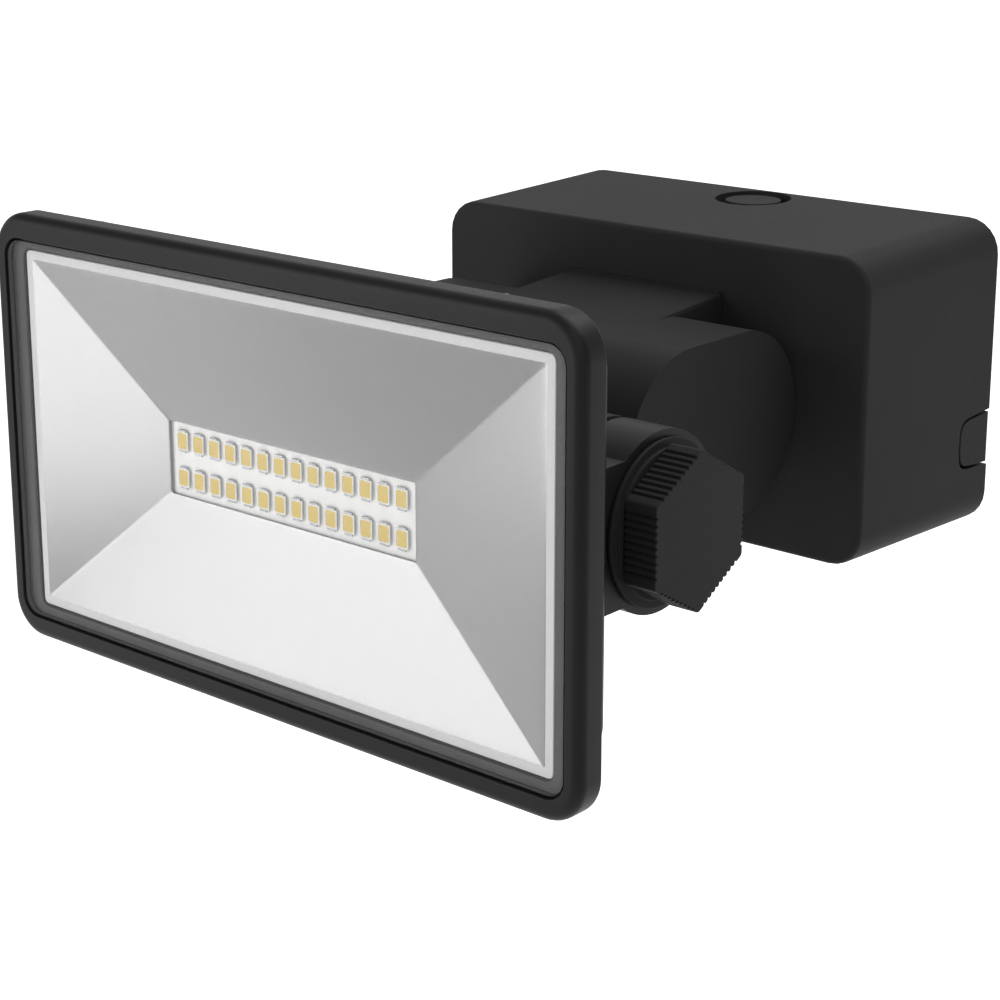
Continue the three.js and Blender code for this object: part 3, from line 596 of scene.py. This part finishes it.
# Folds are rows of depth, growth past the mouth or the board window, and corner radius
REFLECTOR_FACE = (78.6 * MM, 42.95 * MM)
REFLECTOR_RIM = 2.2 * MM
FLANGE_DEPTH = (2.0 * MM, 4.4 * MM)
BODY_INSET = (2.4 * MM, 1.6 * MM)
BOARD_WINDOW = (37.4 * MM, 8.5 * MM)
BOARD_LEDGE = 0.5 * MM
BODY_CORNER = 2 * MM
FACE_CORNER = 1.4 * MM
FACE_EDGE = 0.25 * MM
FACE_TIGHTENING = 0.1 * MM   # how much the corner shrinks from ring to ring at the edge
MOUTH_FOLD = ((0, 0.35 * MM, 0.7 * MM), (0.015 * MM, 0.12 * MM, 0.6 * MM))
PANEL_CORNER = 0.6 * MM
PANEL_PARTS = (0.015, 0.05, 0.2, 0.4, 0.6, 0.8, 0.97)
WINDOW_FOLD = (
    (-0.03 * MM, 0.3 * MM, 0.6 * MM), (0.05 * MM, 0.06 * MM, 0.5 * MM), (0.15 * MM, 0, 0.4 * MM),
)


def reflector():
    """Rim, rounded fold, four sloped panels and the board window, with the flange behind."""
    centre, half = centre_and_half("reflector")
    low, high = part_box("reflector")
    floor_y = high.y - BOARD_LEDGE
    mouth = tuple(value - REFLECTOR_RIM for value in REFLECTOR_FACE)
    body = (half.x - BODY_INSET[0], half.z - BODY_INSET[1])
    flange_front, flange_back = (low.y + value for value in FLANGE_DEPTH)

    def station(y, size, growth, corner):
        return (y, size[0] + growth, size[1] + growth, corner)

    def slope(part):
        """A ring on the sloped panels, part of the way from the mouth to the board window."""
        size = [m + (w - m) * part for m, w in zip(mouth, BOARD_WINDOW)]
        return station(low.y + (floor_y - low.y) * part, size, 0, PANEL_CORNER)

    sections = [
        station(high.y, BOARD_WINDOW, 0, WINDOW_FOLD[-1][2]),
        station(high.y, body, 0, BODY_CORNER),
        station(flange_back, body, 0, BODY_CORNER),
        station(flange_back, (half.x, half.z), 0, BODY_CORNER),
        station(flange_front, (half.x, half.z), 0, BODY_CORNER),
        station(flange_front, REFLECTOR_FACE, 0, FACE_CORNER),
        station(low.y + FACE_EDGE, REFLECTOR_FACE, 0, FACE_CORNER),
        station(
            low.y + FACE_EDGE * ROUNDED, REFLECTOR_FACE, -FACE_EDGE * ROUNDED,
            FACE_CORNER - FACE_TIGHTENING,
        ),
        station(low.y, REFLECTOR_FACE, -FACE_EDGE, FACE_CORNER - 2 * FACE_TIGHTENING),
    ]
    sections += [station(low.y + y, mouth, growth, corner) for y, growth, corner in MOUTH_FOLD]
    sections += [slope(part) for part in PANEL_PARTS]
    sections += [
        station(floor_y + y, BOARD_WINDOW, growth, corner) for y, growth, corner in WINDOW_FOLD
    ]
    bm = loft_rings(plate_rings(sections, centre.x, centre.z, 4), closed=True)
    piece = mesh_object("reflector_finished", bm, REFLECTOR)
    piece.data.materials.append(RIM)
    for polygon in piece.data.polygons:
        middle = polygon.center - centre
        beyond = max(abs(middle.x) - mouth[0], abs(middle.z) - mouth[1])
        if beyond > 0 and polygon.center.y < flange_front:
            polygon.material_index = 1
    return stand_for(weighted(piece, 45), "reflector_white", "reflector")


LED_COLUMNS = 14
PACKAGE_WIDTH = 3.6 * MM
PACKAGE_CHAMFER = 0.08 * MM
PACKAGE_WINDOW = (3.0 * MM, 3.66 * MM)
PACKAGE_WINDOW_CORNER = 0.45 * MM
PACKAGE_RECESS = 0.16 * MM
PACKAGE_SINK = 0.3 * MM      # how far the faces lie behind the CAD row's front
BED_TAPER = (0.94, 0.95)     # the recess floor's size against its mouth, across and up
FILL_SIZE = (0.97, 0.975)
FILL_LEVELS = ((1.0, 0.55), (0.8, 0.40), (0.4, 0.34))   # ring size, depth in the recess
SOLDER_HALF_WIDTH = 1.2 * MM
SOLDER_REACH = 0.45 * MM
SOLDER_HEIGHT = 0.16 * MM
SOLDER_SINK = 0.02 * MM
SOLDER_CHAMFER = 0.05 * MM


def join_rows(bm, rows):
    """Quads between neighbouring rings of vertices."""
    for row, following in zip(rows, rows[1:]):
        for i in range(len(row)):
            j = (i + 1) % len(row)
            bm.faces.new((row[i], row[j], following[j], following[i]))


def block(bm, low, high, chamfer):
    """A small block with chamfered front edges, open at the front; returns its front row."""
    def ring(y, inset):
        x0, x1 = low.x + inset, high.x - inset
        z0, z1 = low.z + inset, high.z - inset
        return [bm.verts.new(p) for p in ((x0, y, z0), (x1, y, z0), (x1, y, z1), (x0, y, z1))]

    rows = [ring(high.y, 0), ring(low.y + chamfer, 0), ring(low.y, chamfer)]
    join_rows(bm, rows)
    bm.faces.new(rows[0])
    return rows[-1]


def package_cup(bm, x, front, back, centre_z, half_z, mouth):
    """One white package: a block whose front has a recessed window."""
    half = PACKAGE_WIDTH / 2
    rim = block(
        bm,
        Vector((x - half, front, centre_z - half_z)),
        Vector((x + half, back, centre_z + half_z)),
        PACKAGE_CHAMFER,
    )
    lip = [bm.verts.new((x + a, front, centre_z + b)) for a, b in mouth]
    bed = [
        bm.verts.new((x + a * BED_TAPER[0], front + PACKAGE_RECESS, centre_z + b * BED_TAPER[1]))
        for a, b in mouth
    ]
    corners = [rim[2], rim[3], rim[0], rim[1]]
    per_corner = len(mouth) // 4
    for quarter in range(4):
        start = quarter * per_corner
        for i in range(start, start + per_corner - 1):
            bm.faces.new((corners[quarter], lip[i], lip[i + 1]))
        end = start + per_corner - 1
        following = (end + 1) % len(lip)
        bm.faces.new((corners[quarter], lip[end], lip[following], corners[(quarter + 1) % 4]))
    join_rows(bm, [lip, bed])
    bm.faces.new(bed)


def package_fill(bm, x, front, centre_z, mouth):
    """The phosphor in a package's window: a shallow dome just under the rim."""
    rings = [
        [
            bm.verts.new((
                x + a * FILL_SIZE[0] * size,
                front + PACKAGE_RECESS * depth,
                centre_z + b * FILL_SIZE[1] * size,
            ))
            for a, b in mouth
        ]
        for size, depth in FILL_LEVELS
    ]
    join_rows(bm, rings)
    bm.faces.new(rings[-1])


def solder_joint(bm, x, edge, side, back):
    """A solder joint at a package's upper (side 1) or lower (side -1) edge."""
    reach = edge + side * SOLDER_REACH
    top = block(
        bm,
        Vector((x - SOLDER_HALF_WIDTH, back - SOLDER_HEIGHT, min(edge, reach))),
        Vector((x + SOLDER_HALF_WIDTH, back + SOLDER_SINK, max(edge, reach))),
        SOLDER_CHAMFER,
    )
    bm.faces.new(top)


def led_row(node):
    """One row of LED packages with their phosphor and solder joints."""
    low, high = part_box(node)
    front = low.y + PACKAGE_SINK
    pitch = (high.x - low.x - PACKAGE_WIDTH) / (LED_COLUMNS - 1)
    centre_z = (low.z + high.z) / 2
    half_z = (high.z - low.z) / 2
    half_window = [value / 2 for value in PACKAGE_WINDOW]
    mouth = rounded_outline(*half_window, PACKAGE_WINDOW_CORNER, 3)
    cups, fills, joints = bmesh.new(), bmesh.new(), bmesh.new()
    for column in range(LED_COLUMNS):
        x = low.x + PACKAGE_WIDTH / 2 + column * pitch
        package_cup(cups, x, front, high.y, centre_z, half_z, mouth)
        package_fill(fills, x, front, centre_z, mouth)
        for side in (-1, 1):
            solder_joint(joints, x, centre_z + side * half_z, side, high.y)
    cup = mesh_object(f"{node}_packages", cups, PACKAGE)
    stand_for(weighted(cup, 30), "board_white", node)
    fill = mesh_object(f"{node}_phosphor", fills, PHOSPHOR)
    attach(fill, body_of(node))
    joint = weighted(mesh_object(f"{node}_solder", joints, STEEL), 30)
    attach(joint, body_of(node))


head_frame()
glass_sheet()
reflector()
led_row("led_row_upper")
led_row("led_row_lower")
stand_for(refined("led_board", MASK, 0.2 * MM), "board_white", "led_board")
stand_for(refined("head_housing", COAT, 0.45 * MM, 30), "black_coated_aluminium", "head_housing")

# ---------------------------------------------------------------------------
# Knob, washers and bolt on the tilt axis
# ---------------------------------------------------------------------------

KNOB_GROOVES = 9
KNOB_PITCH = 1.55 * MM
KNOB_GROOVE = (0.9 * MM, 0.5 * MM)   # width and depth
KNOB_GROOVE_ROOT = 0.08 * MM         # half width of a groove's bottom
KNOB_CORNER_CUT = 0.7 * MM
KNOB_CORNER_PARTS = (0.0, 0.25, 0.5, 0.75, 1.0)
KNOB_EDGE = 0.35 * MM


def knob_outline(radius):
    """Hexagon (y, z) with rounded corners and V grooves across each flat."""
    def hexagon_corner(index):
        angle = index * math.pi / 3 + math.pi / 2
        return Vector((math.cos(angle), math.sin(angle))) * radius

    points = []
    for side in range(6):
        before, corner, following = (hexagon_corner(side + step) for step in (-1, 0, 1))
        along = (following - corner).normalized()
        inward = Vector((-along.y, along.x))
        a = corner + (before - corner).normalized() * KNOB_CORNER_CUT
        b = corner + along * KNOB_CORNER_CUT
        for t in KNOB_CORNER_PARTS:
            points.append((1 - t) ** 2 * a + 2 * t * (1 - t) * corner + t * t * b)
        for groove in range(KNOB_GROOVES):
            offset = (groove - (KNOB_GROOVES - 1) / 2) * KNOB_PITCH
            centre = (corner + following) / 2 + along * offset
            lip = along * (KNOB_GROOVE[0] / 2)
            root = along * KNOB_GROOVE_ROOT
            deep = centre + inward * KNOB_GROOVE[1]
            points += [centre - lip, deep - root, deep + root, centre + lip]
    return points


def tilt_knob():
    """The hexagonal hand knob, with its end edges rounded."""
    centre, half = centre_and_half("tilt_knob")
    low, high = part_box("tilt_knob")
    outline = knob_outline(half.z)
    edge, middle = KNOB_EDGE, KNOB_EDGE * ROUNDED
    sections = []
    for x, inset in (
        (low.x, edge), (low.x + middle, middle), (low.x + edge, 0.0),
        (high.x - edge, 0.0), (high.x - middle, middle), (high.x, edge),
    ):
        scale = (half.z - inset) / half.z
        sections.append([
            Vector((x, centre.y + y * scale, centre.z + z * scale)) for y, z in outline
        ])
    piece = mesh_object("tilt_knob_finished", loft_rings(sections, caps=True), KNOB)
    return stand_for(weighted(piece, 35), "black_plastic_knob", "tilt_knob")


tilt_knob()
stand_for(refined("knob_washer", TRIM, 0.22 * MM), "black_plastic_trim", "knob_washer")
for side in ("right", "left"):
    node = f"friction_washer_{side}"
    stand_for(refined(node, RUBBER, 0.15 * MM), "black_rubber", node)
stand_for(refined("tilt_bolt", STEEL, 0.4 * MM), "zinc_steel", "tilt_bolt")

# ---------------------------------------------------------------------------
# Arm and wall box
# ---------------------------------------------------------------------------

stand_for(refined("swivel_arm", ARM, 0.8 * MM, 30), "black_plastic_arm", "swivel_arm")
stand_for(refined("box_housing", SHELL, 0.3 * MM, 35), "black_plastic_shell", "box_housing")
stand_for(refined("wall_plate", TRIM, 0.35 * MM), "black_plastic_trim", "wall_plate")

PLUG_EDGE = 0.5 * MM         # how far in from the rim a point still belongs to the floor's edge
PLUG_GROWTH = GAP + 0.05 * MM


def seated_plug():
    """The round plug, its thin floor grown sideways until it seats against the hole's wall."""
    piece = refined("top_entry_plug", TRIM, 0.2 * MM)
    centre, half = centre_and_half("top_entry_plug")
    for vertex in piece.data.vertices:
        outward = Vector((vertex.co.x - centre.x, vertex.co.y - centre.y, 0))
        if outward.length > half.x - PLUG_EDGE:
            vertex.co += outward.normalized() * PLUG_GROWTH
    return stand_for(piece, "black_plastic_trim", "top_entry_plug")


seated_plug()
for side in ("right", "left"):
    node = f"side_entry_insert_{side}"
    stand_for(refined(node, SHELL, 0.2 * MM), "black_plastic_trim", node)

# ---------------------------------------------------------------------------
# Screws
# ---------------------------------------------------------------------------


# Sizes of a screw as parts of its head's radius
SCREW_HEAD = 0.78
SCREW_SHANK = 0.54
SCREW_SOCKET = 0.5
SCREW_UNDERSIDE = 0.96
SCREW_CROWN = 0.6
SCREW_SOCKET_LEAD = 0.05
SCREW_SOCKET_MOUTH = 1.06    # as a part of the socket's radius
SCREW_TIP = 0.7              # as parts of the shank's radius
SCREW_TIP_LENGTH = 0.4
# Depths as parts of the head's height
SCREW_UNDERSIDE_TOP = 0.93
SCREW_SIDE_TOP = 0.6
SCREW_SOCKET_DEPTH = 0.62
SCREW_DOME_PARTS = (0.35, 0.6, 0.8, 0.95)
SCREW_DOME_DROP = 0.36
SCREW_STEPS = 36


def socket_screw(node, axis):
    """A button-head screw with a hexagon socket; axis points out of the head."""
    low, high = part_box(node)
    centre = (low + high) / 2
    along = max(range(3), key=lambda i: abs(axis[i]))
    across = (along + 1) % 3
    radius = (high[across] - low[across]) / 2
    sign = 1 if axis[along] > 0 else -1
    out, inner = (high[along], low[along]) if sign > 0 else (low[along], high[along])
    head = radius * SCREW_HEAD
    shank = radius * SCREW_SHANK
    socket = radius * SCREW_SOCKET

    def ring(distance, r, hexagonal=False):
        """A ring of points at a distance below the head's top."""
        points = []
        for i in range(SCREW_STEPS):
            angle = i / SCREW_STEPS * 2 * math.pi
            reach = r
            if hexagonal:
                part = (angle + math.pi / 6) % (math.pi / 3) - math.pi / 6
                reach = r * math.cos(math.pi / 6) / math.cos(part)
            point = centre.copy()
            point[along] = out - sign * distance
            point[across] += reach * math.cos(angle)
            point[(across + 1) % 3] += reach * math.sin(angle)
            points.append(point)
        return points

    length = abs(out - inner)
    side_top = head * SCREW_SIDE_TOP
    rings = [
        ring(length, shank * SCREW_TIP),
        ring(length - shank * SCREW_TIP_LENGTH, shank),
        ring(head, shank),
        ring(head, radius * SCREW_UNDERSIDE),
        ring(head * SCREW_UNDERSIDE_TOP, radius),
        ring(side_top, radius),
    ]
    for t in SCREW_DOME_PARTS:
        rings.append(ring(
            side_top * (1 - math.sin(t * math.pi / 2)), radius * (1 - SCREW_DOME_DROP * t ** 2),
        ))
    rings += [
        ring(0.0, radius * SCREW_CROWN),
        ring(0.0, socket * SCREW_SOCKET_MOUTH, True),
        ring(radius * SCREW_SOCKET_LEAD, socket, True),
        ring(head * SCREW_SOCKET_DEPTH, socket, True),
    ]
    piece = mesh_object(f"{node}_finished", loft_rings(rings, caps=True), STEEL)
    return stand_for(weighted(piece, 35), "zinc_steel", node)


for corner in ("top_right", "top_left", "bottom_left", "bottom_right"):
    socket_screw(f"head_screw_{corner}", (0, 1, 0))
for side in ("right", "left"):
    socket_screw(f"cover_screw_{side}", (0, 0, -1))

# ---------------------------------------------------------------------------
# Inner CAD pieces keep their shape and get their finish
# ---------------------------------------------------------------------------

for node, material in {
    "swivel_lock_nut": TRIM,
    "box_gasket": RUBBER,
    "lens_seal": BORDER,
    "thermal_pad": PAD,
    "led_driver": DRIVER,
    "terminal_block": TERMINAL,
    "live_lead": BROWN,
    "neutral_lead": BLUE,
}.items():
    NODES[node].data.materials.clear()
    NODES[node].data.materials.append(material)
